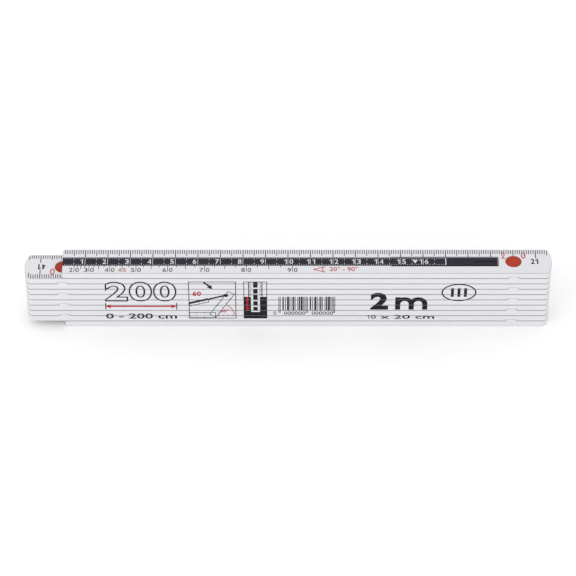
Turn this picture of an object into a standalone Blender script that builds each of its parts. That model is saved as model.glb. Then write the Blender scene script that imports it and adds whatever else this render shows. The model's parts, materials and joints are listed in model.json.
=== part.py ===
"""A two metre folding rule of ten plastic segments, lying folded on its last segment.

Frame, in metres: X along the segments, Y across their width, Z up through the stack. The origin
is the middle of the footprint, on the face that the rule lies on. Segment 1, which holds the depth
tongue, is on top. Joint k joins segment k to segment k + 1 below it. Odd joints are at +X and even
ones at -X. An empty stands on each joint's axis, and turning it unfolds all that lies above.
"""

import math

import bmesh
import bpy

# Segments
SEGMENT_COUNT = 10
JOINT_PITCH = 0.200  # between a segment's two joint axes
END_REACH = 0.017  # from a joint axis to the round end beyond it
WIDTH = 0.015
THICKNESS = 0.00315
LAYER_GAP = 0.0002
END_RADIUS = 0.016
END_STEPS = 6
CORNER_RADIUS = 0.0008
CORNER_STEPS = 2
EDGE_CHAMFER = 0.00025

# Joints: a round boss on the lower segment turns in a recess of the upper one
BOSS_RADIUS = 0.00789
BOSS_TAPER = 0.00022
BOSS_HEIGHT = 0.0009
BOSS_ROOT = 0.0005  # how deep the boss is rooted in its segment
BOSS_ARC_STEPS = 8
RECESS_RADIUS = BOSS_RADIUS + 0.00011
RECESS_DEPTH = 0.0009
BORE_RADIUS = 0.00212
COUNTERBORE_RADIUS = 0.00355
WEB_THICKNESS = 0.0010  # what is left between the recess and the cap's counterbore
HEAD_POCKET_DEPTH = 0.0009
ROUND_STEPS = 24

# Rivet, spring and cap of a joint
DISC_RADIUS = 0.0034
FACE_SETBACK = 0.00005  # heads, caps and the tongue lie this far below the face
HEAD_THICKNESS = 0.0007
SHANK_RADIUS = 0.00203
SPIGOT_RADIUS = 0.0010
SPIGOT_LENGTH = 0.00035
SHANK_OVER_WEB = 0.00045
SPRING_INNER_RADIUS = 0.0022
SPRING_OUTER_RADIUS = 0.0033
SPRING_THICKNESS = 0.0003
SPRING_LIFT = 0.0001
CAP_THICKNESS = 0.0007
SOCKET_RADIUS = 0.0011
SOCKET_DEPTH = 0.00045

# Depth tongue and the groove that guides it
GROOVE_DEPTH = 0.0016
GROOVE_WIDTH = 0.00615
GROOVE_MOUTH_WIDTH = 0.0054
LIP_THICKNESS = 0.0007
GROOVE_LENGTH = 0.1935
LIPS_LENGTH = 0.1457
FLANGE_WIDTH = 0.0059
RIB_WIDTH = 0.0048
TONGUE_LENGTH = 0.1929
TONGUE_CLEARANCE = 0.0001  # below the flange
FLANGE_THICKNESS = 0.00065
SLIT_WIDTH = 0.0004
SLIT_LENGTH = 0.0101
DIMPLE_RADIUS = 0.0017
DIMPLE_DEPTH = 0.0002
DIMPLE_FROM_FRONT = 0.1766

OVERRUN = 0.0003  # how far a cutter runs past the surface that it opens
MERGE_DISTANCE = 1e-6

LAYER_PITCH = THICKNESS + LAYER_GAP
ZERO_END = -JOINT_PITCH / 2
CAP_POCKET_FLOOR = RECESS_DEPTH + WEB_THICKNESS


def joint_x(joint):
    """Odd joints lie at the right-hand end of the folded rule, even ones at the left."""
    return JOINT_PITCH / 2 if joint % 2 else -JOINT_PITCH / 2


def floor_of(segment):
    """Height of a segment's underside; the last segment lies on the ground."""
    return (SEGMENT_COUNT - segment) * LAYER_PITCH


# Finishes


def finish(name, colour, roughness, metallic=0.0):
    """A plain Principled material, its colour in linear values."""
    made = bpy.data.materials.new(name)
    made.use_nodes = True
    shader = made.node_tree.nodes["Principled BSDF"]
    shader.inputs["Base Color"].default_value = (*colour, 1.0)
    shader.inputs["Roughness"].default_value = roughness
    shader.inputs["Metallic"].default_value = metallic
    made.diffuse_color = (*colour, 1.0)
    return made


# Shapes


def add_piece(name, mesh, material=None):
    """Turns a bmesh into an object. One without a material is a cutter, and stays hidden."""
    bmesh.ops.recalc_face_normals(mesh, faces=mesh.faces)
    data = bpy.data.meshes.new(name)
    mesh.to_mesh(data)
    mesh.free()
    piece = bpy.data.objects.new(name, data)
    bpy.context.collection.objects.link(piece)
    if material:
        data.materials.append(material)
        data.shade_smooth()
        data.set_sharp_from_angle(angle=math.radians(30))
    else:
        piece.hide_render = True
        piece.display_type = "WIRE"
    return piece


def extruded(outline, direction):
    """A bmesh prism: a flat outline of points, drawn out along a direction."""
    mesh = bmesh.new()
    base = mesh.faces.new([mesh.verts.new(point) for point in outline])
    drawn = bmesh.ops.extrude_face_region(mesh, geom=[base])["geom"]
    moved = [item for item in drawn if isinstance(item, bmesh.types.BMVert)]
    bmesh.ops.translate(mesh, verts=moved, vec=direction)
    return mesh


def turned(profile, closed=False):
    """A bmesh turned round Z from (radius, height) points; closed for a ring."""
    mesh = bmesh.new()
    points = [mesh.verts.new((radius, 0.0, height)) for radius, height in profile]
    pairs = list(zip(points, points[1:]))
    if closed:
        pairs.append((points[-1], points[0]))
    edges = [mesh.edges.new(pair) for pair in pairs]
    bmesh.ops.spin(
        mesh,
        geom=points + edges,
        axis=(0.0, 0.0, 1.0),
        cent=(0.0, 0.0, 0.0),
        angle=math.tau,
        steps=ROUND_STEPS,
        use_merge=True,
    )
    bmesh.ops.remove_doubles(mesh, verts=mesh.verts, dist=MERGE_DISTANCE)
    return mesh


def box_outline(left, right, half_width, height):
    """Four corners of a level rectangle."""
    return [
        (left, -half_width, height),
        (right, -half_width, height),
        (right, half_width, height),
        (left, half_width, height),
    ]


def arc(centre_x, radius, half_width, side, steps, height):
    """Points of a level arc that bulges to +X or -X, cut off at the half width."""
    reach = math.asin(half_width / radius)
    angles = [reach * (2 * step / steps - 1) for step in range(steps + 1)]
    return [
        (centre_x + side * radius * math.cos(angle), side * radius * math.sin(angle), height)
        for angle in angles
    ]


def combine(piece, operation, *tools):
    """Adds each tool to the piece, or cuts it away, with a live Boolean."""
    for tool in tools:
        modifier = piece.modifiers.new(tool.name, "BOOLEAN")
        modifier.operation = operation
        modifier.solver = "EXACT"
        modifier.object = tool


def place(piece, holder, x, z):
    """Hangs a piece on a joint's empty, or on nothing, at a place in the frame."""
    if holder:
        piece.parent = holder
        x -= holder["frame_x"]
        z -= holder["frame_z"]
    piece.location = (x, 0.0, z)


# Segments


def bar_mesh(left, right, left_is_round):
    """A segment before its joints are cut: rounded ends, broken corners, chamfered rims."""
    half = WIDTH / 2
    outline = arc(right - END_RADIUS, END_RADIUS, half, 1, END_STEPS, 0.0)
    if left_is_round:
        outline += arc(left + END_RADIUS, END_RADIUS, half, -1, END_STEPS, 0.0)
    else:
        outline += [(left, half, 0.0), (left, -half, 0.0)]
    mesh = extruded(outline, (0.0, 0.0, THICKNESS))
    upright_corners = [
        edge
        for edge in mesh.edges
        if abs(edge.verts[0].co.z - edge.verts[1].co.z) > THICKNESS / 2
        and abs(abs(edge.verts[0].co.y) - half) < MERGE_DISTANCE
    ]
    bmesh.ops.bevel(
        mesh,
        geom=upright_corners,
        offset=CORNER_RADIUS,
        offset_type="OFFSET",
        segments=CORNER_STEPS,
        profile=0.5,
        affect="EDGES",
    )
    rims = [
        edge
        for edge in mesh.edges
        if abs(edge.verts[0].co.z - edge.verts[1].co.z) < MERGE_DISTANCE
    ]
    bmesh.ops.bevel(
        mesh, geom=rims, offset=EDGE_CHAMFER, offset_type="OFFSET", segments=1, affect="EDGES"
    )
    return mesh


def boss_mesh():
    """The slightly tapered disc that a joint turns on, as wide as the segment."""
    half = WIDTH / 2
    mesh = bmesh.new()
    levels = (
        (BOSS_RADIUS, -BOSS_ROOT),
        (BOSS_RADIUS, 0.0),
        (BOSS_RADIUS - BOSS_TAPER, BOSS_HEIGHT),
    )
    rings = []
    for radius, height in levels:
        outline = arc(0.0, radius, half, 1, BOSS_ARC_STEPS, height)
        outline += arc(0.0, radius, half, -1, BOSS_ARC_STEPS, height)
        rings.append([mesh.verts.new(point) for point in outline])
    for lower, upper in zip(rings, rings[1:]):
        for index in range(len(lower)):
            following = (index + 1) % len(lower)
            mesh.faces.new((lower[index], lower[following], upper[following], upper[index]))
    mesh.faces.new(rings[0])
    mesh.faces.new(rings[-1])
    return mesh


def lower_half_tools(joint, holder):
    """What a joint adds to the segment below it: a boss, and a bore with the head's pocket."""
    floor = floor_of(joint + 1)
    boss = add_piece(f"boss_tool_{joint:02}", boss_mesh())
    place(boss, holder, joint_x(joint), floor + THICKNESS)
    profile = [
        (0.0, -OVERRUN),
        (COUNTERBORE_RADIUS, -OVERRUN),
        (COUNTERBORE_RADIUS, HEAD_POCKET_DEPTH),
        (BORE_RADIUS, HEAD_POCKET_DEPTH),
        (BORE_RADIUS, THICKNESS + BOSS_HEIGHT + OVERRUN),
        (0.0, THICKNESS + BOSS_HEIGHT + OVERRUN),
    ]
    bore = add_piece(f"lower_bore_tool_{joint:02}", turned(profile))
    place(bore, holder, joint_x(joint), floor)
    return boss, bore


def upper_half_tool(joint, holder):
    """What a joint cuts out of the segment above it: the recess, the bore, the cap's pocket."""
    taper = BOSS_TAPER * RECESS_DEPTH / BOSS_HEIGHT
    profile = [
        (0.0, -OVERRUN),
        (RECESS_RADIUS, -OVERRUN),
        (RECESS_RADIUS, 0.0),
        (RECESS_RADIUS - taper, RECESS_DEPTH),
        (BORE_RADIUS, RECESS_DEPTH),
        (BORE_RADIUS, CAP_POCKET_FLOOR),
        (COUNTERBORE_RADIUS, CAP_POCKET_FLOOR),
        (COUNTERBORE_RADIUS, THICKNESS + OVERRUN),
        (0.0, THICKNESS + OVERRUN),
    ]
    tool = add_piece(f"upper_bore_tool_{joint:02}", turned(profile))
    place(tool, holder, joint_x(joint), floor_of(joint))
    return tool


def make_segment(segment, holder, material):
    """One segment with its two joint halves; the outermost two have one joint each."""
    outermost = segment in (1, SEGMENT_COUNT)
    left = ZERO_END if outermost else -JOINT_PITCH / 2 - END_REACH
    right = JOINT_PITCH / 2 + END_REACH
    origin_x = joint_x(min(segment, SEGMENT_COUNT - 1))
    mesh = bar_mesh(left - origin_x, right - origin_x, not outermost)
    piece = add_piece(f"segment_{segment:02}", mesh, material)
    place(piece, holder, origin_x, floor_of(segment))
    if segment > 1:
        boss, bore = lower_half_tools(segment - 1, holder)
        combine(piece, "UNION", boss)
        combine(piece, "DIFFERENCE", bore)
    if segment < SEGMENT_COUNT:
        combine(piece, "DIFFERENCE", upper_half_tool(segment, holder))
    return piece


# Joint hardware


def make_rivet(joint, holder, material):
    """The rivet that a joint turns on. Its head lies in the lower segment's face."""
    head_top = FACE_SETBACK + HEAD_THICKNESS
    shank_top = LAYER_PITCH + CAP_POCKET_FLOOR + SHANK_OVER_WEB
    profile = [
        (0.0, FACE_SETBACK),
        (DISC_RADIUS, FACE_SETBACK),
        (DISC_RADIUS, head_top),
        (SHANK_RADIUS, head_top),
        (SHANK_RADIUS, shank_top),
        (SPIGOT_RADIUS, shank_top),
        (SPIGOT_RADIUS, shank_top + SPIGOT_LENGTH),
        (0.0, shank_top + SPIGOT_LENGTH),
    ]
    piece = add_piece(f"joint_rivet_{joint:02}", turned(profile), material)
    place(piece, holder, joint_x(joint), floor_of(joint + 1))


def make_spring(joint, holder, material):
    """The spring ring under the cap, which presses the two segments together."""
    low = CAP_POCKET_FLOOR + SPRING_LIFT
    high = low + SPRING_THICKNESS
    profile = [
        (SPRING_INNER_RADIUS, low),
        (SPRING_OUTER_RADIUS, low),
        (SPRING_OUTER_RADIUS, high),
        (SPRING_INNER_RADIUS, high),
    ]
    piece = add_piece(f"joint_spring_{joint:02}", turned(profile, closed=True), material)
    place(piece, holder, joint_x(joint), floor_of(joint))


def make_cap(joint, holder, material):
    """The round cap in the upper segment's face, clipped on the rivet's spigot."""
    top = THICKNESS - FACE_SETBACK
    low = top - CAP_THICKNESS
    profile = [
        (0.0, low + SOCKET_DEPTH),
        (SOCKET_RADIUS, low + SOCKET_DEPTH),
        (SOCKET_RADIUS, low),
        (DISC_RADIUS, low),
        (DISC_RADIUS, top),
        (0.0, top),
    ]
    piece = add_piece(f"joint_cap_{joint:02}", turned(profile), material)
    place(piece, holder, joint_x(joint), floor_of(joint))


# Depth tongue


def t_outline(x, narrow_half, wide_half, floor, step, top):
    """A T-shaped section across the rule, wide below the step and narrow above it."""
    return [
        (x, -wide_half, floor),
        (x, wide_half, floor),
        (x, wide_half, step),
        (x, narrow_half, step),
        (x, narrow_half, top),
        (x, -narrow_half, top),
        (x, -narrow_half, step),
        (x, -wide_half, step),
    ]


def cut_groove(segment, holder):
    """Cuts the tongue's groove: lipped up to the open pocket that the tongue is put in by."""
    lipped = extruded(
        t_outline(
            -OVERRUN,
            GROOVE_MOUTH_WIDTH / 2,
            GROOVE_WIDTH / 2,
            THICKNESS - GROOVE_DEPTH,
            THICKNESS - LIP_THICKNESS,
            THICKNESS + OVERRUN,
        ),
        (LIPS_LENGTH + 2 * OVERRUN, 0.0, 0.0),
    )
    open_pocket = extruded(
        box_outline(LIPS_LENGTH, GROOVE_LENGTH, GROOVE_WIDTH / 2, THICKNESS - GROOVE_DEPTH),
        (0.0, 0.0, GROOVE_DEPTH + OVERRUN),
    )
    for name, mesh in (("groove_tool", lipped), ("groove_pocket_tool", open_pocket)):
        tool = add_piece(name, mesh)
        place(tool, holder, ZERO_END, floor_of(1))
        combine(segment, "DIFFERENCE", tool)


def make_tongue(holder, material):
    """The sliding tongue: a rib on a wider flange, with a slit tail that grips the groove."""
    low = THICKNESS - GROOVE_DEPTH + TONGUE_CLEARANCE
    top = THICKNESS - FACE_SETBACK
    section = t_outline(
        0.0, RIB_WIDTH / 2, FLANGE_WIDTH / 2, low, low + FLANGE_THICKNESS, top
    )
    piece = add_piece("depth_tongue", extruded(section, (TONGUE_LENGTH, 0.0, 0.0)), material)
    place(piece, holder, ZERO_END, floor_of(1))
    slit = extruded(
        box_outline(
            TONGUE_LENGTH - SLIT_LENGTH, TONGUE_LENGTH + OVERRUN, SLIT_WIDTH / 2, low - OVERRUN
        ),
        (0.0, 0.0, top - low + 2 * OVERRUN),
    )
    slit_tool = add_piece("slit_tool", slit)
    place(slit_tool, holder, ZERO_END, floor_of(1))
    dimple_profile = [
        (0.0, top - DIMPLE_DEPTH),
        (DIMPLE_RADIUS, top - DIMPLE_DEPTH),
        (DIMPLE_RADIUS, top + OVERRUN),
        (0.0, top + OVERRUN),
    ]
    dimple_tool = add_piece("dimple_tool", turned(dimple_profile))
    place(dimple_tool, holder, ZERO_END + DIMPLE_FROM_FRONT, floor_of(1))
    combine(piece, "DIFFERENCE", slit_tool, dimple_tool)


# The whole rule


def joint_empty(joint, holder):
    """An empty on a joint's axis, level with the underside of the segment that turns on it."""
    axis = bpy.data.objects.new(f"joint_axis_{joint:02}", None)
    bpy.context.collection.objects.link(axis)
    axis.empty_display_size = WIDTH / 2
    axis["frame_x"] = joint_x(joint)
    axis["frame_z"] = floor_of(joint)
    place(axis, holder, joint_x(joint), floor_of(joint))
    return axis


def build():
    for old in list(bpy.data.objects):
        bpy.data.objects.remove(old, do_unlink=True)
    white = finish("white_polyamide", (0.80, 0.80, 0.83), 0.42)
    black = finish("black_polyamide", (0.025, 0.024, 0.034), 0.38)
    red = finish("red_polyamide", (0.48, 0.042, 0.020), 0.40)
    steel = finish("spring_steel", (0.56, 0.57, 0.58), 0.30, 1.0)

    holder = None
    make_segment(SEGMENT_COUNT, holder, white)
    for joint in range(SEGMENT_COUNT - 1, 0, -1):
        make_rivet(joint, holder, red)
        holder = joint_empty(joint, holder)
        segment = make_segment(joint, holder, white)
        make_spring(joint, holder, steel)
        make_cap(joint, holder, red)
    cut_groove(segment, holder)
    make_tongue(holder, black)


build()
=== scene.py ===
# %% [markdown]
# # A folding rule in white plastic
#
# The engineering model of the rule is already made: ten segments, their rivets, springs and caps,
# and the black depth tongue in the top face. This notebook gives it its looks. It models finer
# segments, caps and tongue in the very places of the plain ones, prints the scales on them, and
# mixes the plastics, the inks and the spring steel from procedural nodes.
#
# The rule lies folded. X runs along the segments, Y across them and Z up through the stack.

# %% Load the frame
import json
import math

import bmesh
import bpy
from mathutils import Matrix, Vector

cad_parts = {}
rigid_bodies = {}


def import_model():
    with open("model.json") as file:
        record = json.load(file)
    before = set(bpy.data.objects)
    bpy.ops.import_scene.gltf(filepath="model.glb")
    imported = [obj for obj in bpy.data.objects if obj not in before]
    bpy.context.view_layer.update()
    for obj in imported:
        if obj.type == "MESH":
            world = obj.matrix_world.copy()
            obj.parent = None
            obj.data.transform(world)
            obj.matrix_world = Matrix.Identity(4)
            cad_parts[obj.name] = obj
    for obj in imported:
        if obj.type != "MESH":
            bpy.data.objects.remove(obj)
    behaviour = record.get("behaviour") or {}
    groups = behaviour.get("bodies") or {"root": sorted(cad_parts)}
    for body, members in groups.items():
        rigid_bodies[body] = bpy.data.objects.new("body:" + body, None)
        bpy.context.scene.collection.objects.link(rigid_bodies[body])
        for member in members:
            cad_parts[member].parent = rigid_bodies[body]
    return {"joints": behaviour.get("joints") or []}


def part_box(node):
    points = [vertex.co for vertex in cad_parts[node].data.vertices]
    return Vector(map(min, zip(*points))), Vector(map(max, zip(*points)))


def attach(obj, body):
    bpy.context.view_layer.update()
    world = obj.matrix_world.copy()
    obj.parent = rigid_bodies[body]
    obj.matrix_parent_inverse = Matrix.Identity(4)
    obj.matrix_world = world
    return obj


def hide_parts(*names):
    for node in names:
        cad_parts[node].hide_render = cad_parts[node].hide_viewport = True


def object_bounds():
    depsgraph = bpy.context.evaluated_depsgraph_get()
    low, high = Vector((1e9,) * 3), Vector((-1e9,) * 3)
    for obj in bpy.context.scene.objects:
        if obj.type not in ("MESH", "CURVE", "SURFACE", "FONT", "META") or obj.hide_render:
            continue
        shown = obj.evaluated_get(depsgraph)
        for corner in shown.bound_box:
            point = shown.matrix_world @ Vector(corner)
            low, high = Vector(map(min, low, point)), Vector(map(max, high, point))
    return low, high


for leftover in list(bpy.data.objects):
    bpy.data.objects.remove(leftover)
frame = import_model()
cad_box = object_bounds()
print("CAD box:", [tuple(round(value, 4) for value in corner) for corner in cad_box])

# %% [markdown]
# ## Read the sizes off the frame
#
# Nothing here is guessed twice. The joints say where the axes stand, and the boxes of the plain
# pieces say how long, wide and thick each one is. A segment's own drawing is made in *reading
# order*: u runs along its scale from the axis it starts at, v across it, w up from its underside.

# %% Sizes
MM = 0.001
SEGMENTS = range(1, 11)
JOINTS = range(1, 10)
axis_x = {joint["name"]: joint["pos_m"][0] for joint in frame["joints"] if joint["type"] == "hinge"}
PITCH = abs(axis_x["fold_01"] - axis_x["fold_02"])
first_low, first_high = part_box("segment_01")
middle_low, middle_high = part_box("segment_02")
HALF_WIDTH = first_high.y
THICK = first_high.z - first_low.z
REACH = middle_high.x - PITCH / 2
BOSS_RISE = (middle_high.z - middle_low.z) - THICK
floor_of = {segment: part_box(f"segment_{segment:02}")[0].z for segment in SEGMENTS}
print(f"pitch {PITCH:.3f}, reach {REACH:.4f}, thickness {THICK:.5f}, boss {BOSS_RISE:.5f}")

# %% [markdown]
# ## Small tools for modelling by hand
#
# Blender's operators act on whatever is selected, so every step starts by choosing its piece.
# These helpers do that, apply a modifier at once, and cut one solid with another.

# %% Choosing, finishing and cutting


def pick(*pieces):
    """Selects just these pieces, in object mode, and makes the first one active."""
    if bpy.context.object and bpy.context.object.mode != "OBJECT":
        bpy.ops.object.mode_set(mode="OBJECT")
    bpy.ops.object.select_all(action="DESELECT")
    for piece in pieces:
        piece.select_set(True)
    bpy.context.view_layer.objects.active = pieces[0]


def fresh(add_primitive, name, **settings):
    """Adds a primitive with nothing else selected, names it, and bakes its place into its mesh."""
    bpy.ops.object.select_all(action="DESELECT")
    add_primitive(**settings)
    piece = bpy.context.object
    piece.name = name
    bpy.ops.object.transform_apply(location=True, rotation=True, scale=True)
    return piece


def apply_modifier(piece, kind, **settings):
    """Puts one modifier on a piece and applies it."""
    modifier = piece.modifiers.new(kind.lower(), kind)
    for setting, value in settings.items():
        setattr(modifier, setting, value)
    pick(piece)
    bpy.ops.object.modifier_apply(modifier=modifier.name)


def cut(piece, tool, operation="DIFFERENCE"):
    """Cuts a tool out of a piece, or joins it on, and throws the tool away."""
    apply_modifier(piece, "BOOLEAN", object=tool, operation=operation, solver="EXACT")
    bpy.data.objects.remove(tool)


def block(name, low, high):
    """A rectangular tool between two corners."""
    size = Vector(high) - Vector(low)
    middle = (Vector(high) + Vector(low)) / 2
    return fresh(bpy.ops.mesh.primitive_cube_add, name, size=1, location=middle, scale=size)


def drum(name, place, radius, low, high, vertices=64, top_radius=None):
    """A round tool that stands on (u, v), from one height to another; it may taper."""
    upper = radius if top_radius is None else top_radius
    return fresh(
        bpy.ops.mesh.primitive_cone_add,
        name,
        vertices=vertices,
        radius1=radius,
        radius2=upper,
        depth=high - low,
        location=(place[0], place[1], (low + high) / 2),
    )


def round_shading(piece, angle=35):
    """Smooth shading that keeps the edges sharper than an angle, with weighted normals."""
    pick(piece)
    bpy.ops.object.shade_smooth_by_angle(angle=math.radians(angle))
    apply_modifier(piece, "WEIGHTED_NORMAL", keep_sharp=True)


def twin(piece, name):
    """A copy of a piece with its own mesh."""
    copy = piece.copy()
    copy.data = piece.data.copy()
    copy.name = name
    bpy.context.collection.objects.link(copy)
    return copy


def merge(name, pieces):
    """Joins several pieces into one."""
    pick(*pieces)
    bpy.ops.object.join()
    bpy.context.object.name = name
    return bpy.context.object


# %% [markdown]
# ## Where a segment lies
#
# The scale runs on from one segment to the next, so a folded rule turns every second segment
# round: odd ones read towards +X and even ones towards -X. One matrix turns a drawing in reading
# order into its place in the stack, and a second one first rolls it onto the underside.

# %% From reading order to the stack


def seat_of(segment):
    """The matrix from a segment's reading order to its place in the folded rule."""
    if segment % 2:
        return Matrix.Translation((-PITCH / 2, 0, floor_of[segment]))
    half_turn = Matrix.Rotation(math.pi, 4, "Z")
    return Matrix.Translation((PITCH / 2, 0, floor_of[segment])) @ half_turn


TOP_FACE = Matrix.Translation((0, 0, THICK))
UNDER_FACE = Matrix.Rotation(math.pi, 4, "X")

# %% [markdown]
# ## The bare segment
#
# The real segment is one injection moulding, a flat bar of glass-filled plastic with shallow round
# ends and softly broken edges. It could start as a cube with its ends carved, but the ends are
# true arcs, so a plan comes first: two circles are trimmed to their end arcs, the arcs are bridged
# into a sheet, and the sheet is extruded to its thickness. Bevels then round the four upright
# corners, and after them the rims.

# %% The moulded bar
END_RADIUS = 16 * MM
CORNER_RADIUS = 0.8 * MM
RIM_RADIUS = 0.15 * MM
ARC_VERTICES = 128
TINY = 1e-7


def trim(point, normal, **settings):
    """Bisects what is selected, in edit mode."""
    bpy.ops.mesh.bisect(plane_co=point, plane_no=normal, threshold=TINY, **settings)


def end_arc(centre_u, side):
    """Adds one end's arc in edit mode: a circle trimmed to the width of the bar."""
    bpy.ops.mesh.select_all(action="DESELECT")
    bpy.ops.mesh.primitive_circle_add(
        vertices=ARC_VERTICES, radius=END_RADIUS, location=(centre_u, 0, 0)
    )
    trim((0, HALF_WIDTH, 0), (0, 1, 0), clear_outer=True)
    bpy.ops.mesh.select_linked()
    trim((0, -HALF_WIDTH, 0), (0, -1, 0), clear_outer=True)
    bpy.ops.mesh.select_linked()
    trim((centre_u, 0, 0), (-side, 0, 0), clear_outer=True)


def select_edges(piece, wanted):
    """In edit mode, selects the edges whose two ends pass a test."""
    drawn = bmesh.from_edit_mesh(piece.data)
    for edge in drawn.edges:
        edge.select_set(wanted(edge.verts[0].co, edge.verts[1].co))
    bmesh.update_edit_mesh(piece.data)


def moulded_bar(name, flat_end=None):
    """A bar in reading order, its underside at w = 0; one end may be cut flat on a joint's axis."""
    bpy.ops.object.select_all(action="DESELECT")
    bpy.ops.mesh.primitive_plane_add(size=MM)
    piece = bpy.context.object
    piece.name = name
    bpy.ops.object.mode_set(mode="EDIT")
    bpy.ops.mesh.select_mode(type="VERT")
    bpy.ops.mesh.delete(type="VERT")
    end_arc(PITCH + REACH - END_RADIUS, 1)
    end_arc(END_RADIUS - REACH, -1)
    bpy.ops.mesh.select_all(action="SELECT")
    bpy.ops.mesh.bridge_edge_loops()
    if flat_end is not None:
        outwards = 1 if flat_end > 0 else -1
        bpy.ops.mesh.select_all(action="SELECT")
        trim((flat_end, 0, 0), (outwards, 0, 0), clear_outer=True)
    bpy.ops.mesh.select_all(action="SELECT")
    bpy.ops.mesh.dissolve_limited(angle_limit=math.radians(1))
    bpy.ops.mesh.extrude_region_move(TRANSFORM_OT_translate={"value": (0, 0, THICK)})
    bpy.ops.mesh.select_all(action="SELECT")
    bpy.ops.mesh.normals_make_consistent(inside=False)
    bpy.ops.mesh.select_mode(type="EDGE")
    select_edges(
        piece,
        lambda a, b: abs(a.z - b.z) > THICK / 2 and abs(abs(a.y) - HALF_WIDTH) < TINY * 10,
    )
    bpy.ops.mesh.bevel(offset=CORNER_RADIUS, segments=4, affect="EDGES")
    bpy.ops.mesh.select_all(action="SELECT")
    bpy.ops.mesh.remove_doubles(threshold=CORNER_RADIUS / 8)
    bpy.ops.mesh.select_all(action="DESELECT")
    bpy.ops.mesh.edges_select_sharp(sharpness=math.radians(60))
    bpy.ops.mesh.bevel(offset=RIM_RADIUS, segments=3, affect="EDGES")
    bpy.ops.object.mode_set(mode="OBJECT")
    return piece


# %% [markdown]
# ## The two halves of a joint
#
# A joint is a flat turntable. The lower segment carries a round boss, slightly tapered so that it
# leaves its mould, and as wide as the segment: its flanks show as low steps in the parting line.
# The upper segment has the matching recess. A rivet runs up through both, with its head sunk in
# the lower face and its cap sunk in the upper one. Each half is a set of round tools, cut in turn.

# %% Joint halves
BOSS_RADIUS = 7.89 * MM
BOSS_TAPER = 0.22 * MM
BOSS_ROOT = 0.6 * MM
TURNING_PLAY = 0.11 * MM
RECESS_DEPTH = BOSS_RISE
BORE_RADIUS = 2.12 * MM
WEB = 1.0 * MM
HEAD_POCKET = 0.9 * MM
OVERRUN = 0.3 * MM
LEAD_IN = 0.1 * MM
HAIR = 0.004 * MM
cap_low, cap_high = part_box("joint_cap_01")
DISC_RADIUS = (cap_high.x - cap_low.x) / 2
POCKET_RADIUS = DISC_RADIUS + 0.15 * MM


def add_boss(piece, u):
    """Joins the boss on, cut to the width of the segment."""
    taper = BOSS_TAPER / BOSS_RISE
    boss = drum(
        "boss",
        (u, 0),
        BOSS_RADIUS + taper * BOSS_ROOT,
        THICK - BOSS_ROOT,
        THICK + BOSS_RISE,
        128,
        BOSS_RADIUS - BOSS_TAPER,
    )
    reach = 2 * BOSS_RADIUS
    side = HALF_WIDTH - HAIR
    slab = block("slab", (u - reach, -side, -THICK), (u + reach, side, 2 * THICK))
    cut(boss, slab, "INTERSECT")
    cut(piece, boss, "UNION")


def sink_pocket(piece, u, mouth, floor):
    """Sinks a round pocket for a head or a cap, with a small lead-in at its mouth."""
    outwards = 1 if mouth > floor else -1
    pocket_ends = sorted((floor, mouth + outwards * OVERRUN))
    cut(piece, drum("pocket", (u, 0), POCKET_RADIUS, *pocket_ends))
    wide = POCKET_RADIUS + 2 * LEAD_IN
    flare_ends = (mouth - LEAD_IN, mouth + LEAD_IN)
    radii = (POCKET_RADIUS, wide) if outwards > 0 else (wide, POCKET_RADIUS)
    cut(piece, drum("flare", (u, 0), radii[0], *flare_ends, top_radius=radii[1]))


def lower_half(piece, u):
    """Boss above, bore through, pocket for the rivet's head below."""
    add_boss(piece, u)
    cut(piece, drum("bore", (u, 0), BORE_RADIUS, -OVERRUN, THICK + BOSS_RISE + OVERRUN, 48))
    sink_pocket(piece, u, 0.0, HEAD_POCKET)


def upper_half(piece, u):
    """Recess below, bore through, pocket for the cap above."""
    mouth = BOSS_RADIUS + TURNING_PLAY
    run = BOSS_TAPER * OVERRUN / BOSS_RISE
    recess = drum(
        "recess", (u, 0), mouth + run, -OVERRUN, RECESS_DEPTH, 128, mouth - BOSS_TAPER
    )
    cut(piece, recess)
    cut(piece, drum("bore", (u, 0), BORE_RADIUS, -OVERRUN, THICK + OVERRUN, 48))
    sink_pocket(piece, u, THICK, RECESS_DEPTH + WEB)


# %% [markdown]
# ## The tongue's groove
#
# The first segment guides the tongue in an undercut groove. Two lips hold the tongue down for most
# of the way, and near the joint they end, so that the tongue can be dropped in. Two straight
# tools, one under the lips and one between them, make it, and a third opens the far stretch.

# %% The groove
tongue_low, tongue_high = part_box("depth_tongue")
GROOVE_FLOOR = THICK - 1.6 * MM
LIP_UNDERSIDE = THICK - 0.7 * MM
GROOVE_HALF = 3.075 * MM
MOUTH_HALF = 2.7 * MM
LIPS_END = 145.7 * MM
GROOVE_END = 193.5 * MM


def plough_groove(piece):
    """Cuts the groove from the open end at u = 0."""
    start = -OVERRUN
    cut(
        piece,
        block("undercut", (start, -GROOVE_HALF, GROOVE_FLOOR), (LIPS_END, GROOVE_HALF, LIP_UNDERSIDE)),
    )
    top = THICK + OVERRUN
    cut(piece, block("mouth", (start, -MOUTH_HALF, GROOVE_FLOOR), (LIPS_END + MM, MOUTH_HALF, top)))
    cut(piece, block("open", (LIPS_END, -GROOVE_HALF, GROOVE_FLOOR), (GROOVE_END, GROOVE_HALF, top)))


# %% [markdown]
# ## Where shade is painted on the plastic
#
# Light hardly leaves the narrow joint lines, so their shade is painted into the colour. Every face
# of a rim, a boss flank or a pocket's lead-in is marked by an attribute of its own, and the white
# finish paints those faces darker as shade.

# %% Mark the rims


def mark_rims(piece):
    """Gives the slanted faces of a segment the value 1 in an attribute called rim, which marks where
    shade is painted.
    """
    rim = piece.data.attributes.new("rim", "FLOAT", "FACE")
    for face in piece.data.polygons:
        rim.data[face.index].value = 1.0 if 0.15 < abs(face.normal.z) < 0.97 else 0.0


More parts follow.
